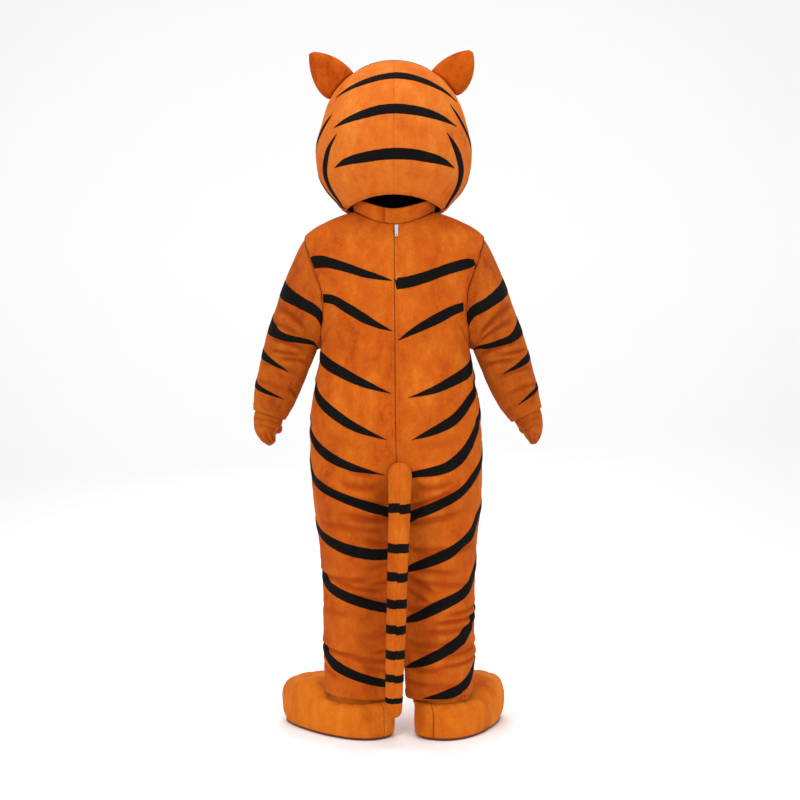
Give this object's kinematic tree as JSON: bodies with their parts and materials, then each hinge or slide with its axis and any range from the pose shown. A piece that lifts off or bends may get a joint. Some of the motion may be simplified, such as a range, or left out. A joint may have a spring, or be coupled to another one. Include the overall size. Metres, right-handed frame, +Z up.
{
  "type": "tiger mascot costume",
  "caption": "Full-body tiger mascot costume in orange plush with black stripes: round head with ears, zip-back jumpsuit, mitts, padded feet and ringed tail, in its worn, hollow shape.",
  "frame": {"origin": "centre of the neck's base, where the costume hangs on the wearer's shoulders, 1.470 m above the soles", "axes": "+Z up, the costume's front towards -Y and its zipped back towards +Y, the wearer's left towards +X"},
  "size_m": [0.8421, 0.5501, 1.96],
  "materials": {
    "orange_plush": "short-pile plush, soft sheen",
    "black_plush": "short-pile plush, matt",
    "cream_plush": "short-pile plush, matt",
    "sole_rubber": "dark foam rubber, matt",
    "eye_white": "smooth",
    "pupil_black": "smooth",
    "zip_metal": "pale metal, lightly polished"
  },
  "bodies": {
    "suit": {"suit_back_left": "orange_plush", "suit_back_right": "orange_plush", "suit_front_left": "orange_plush", "suit_front_right": "orange_plush", "sleeve_left": "orange_plush", "sleeve_right": "orange_plush", "collar_left": "orange_plush", "collar_right": "orange_plush", "head_back_left": "orange_plush", "head_back_right": "orange_plush", "head_front_left": "orange_plush", "head_front_right": "orange_plush", "ear_back_left": "orange_plush", "ear_back_right": "orange_plush", "ear_front_left": "orange_plush", "ear_front_right": "orange_plush", "muzzle": "cream_plush", "nose": "black_plush", "eye_left": "eye_white", "eye_right": "eye_white", "pupil_left": "pupil_black", "pupil_right": "pupil_black", "mitt_palm_left": "orange_plush", "mitt_palm_right": "orange_plush", "mitt_back_left": "orange_plush", "mitt_back_right": "orange_plush", "thumb_left": "orange_plush", "thumb_right": "orange_plush", "foot_outer_left": "orange_plush", "foot_outer_right": "orange_plush", "foot_inner_left": "orange_plush", "foot_inner_right": "orange_plush", "sole_left": "sole_rubber", "sole_right": "sole_rubber", "tail": "orange_plush", "tail_band_1": "black_plush", "tail_band_2": "black_plush", "tail_band_3": "black_plush", "tail_band_4": "black_plush", "tail_band_5": "black_plush", "tail_band_6": "black_plush", "tail_band_7": "black_plush", "tail_band_8": "black_plush", "zip_slider": "zip_metal"},
    "zip_tab": {"zip_pull": "zip_metal"}
  },
  "joints": [
    {"name": "zip_tab_flip", "type": "hinge", "parent": "suit", "child": "zip_tab", "pos_m": [-0.0018, 0.10787, -0.03404], "axis": [1, 0, 0], "range_deg": [0, 150]}
  ]
}
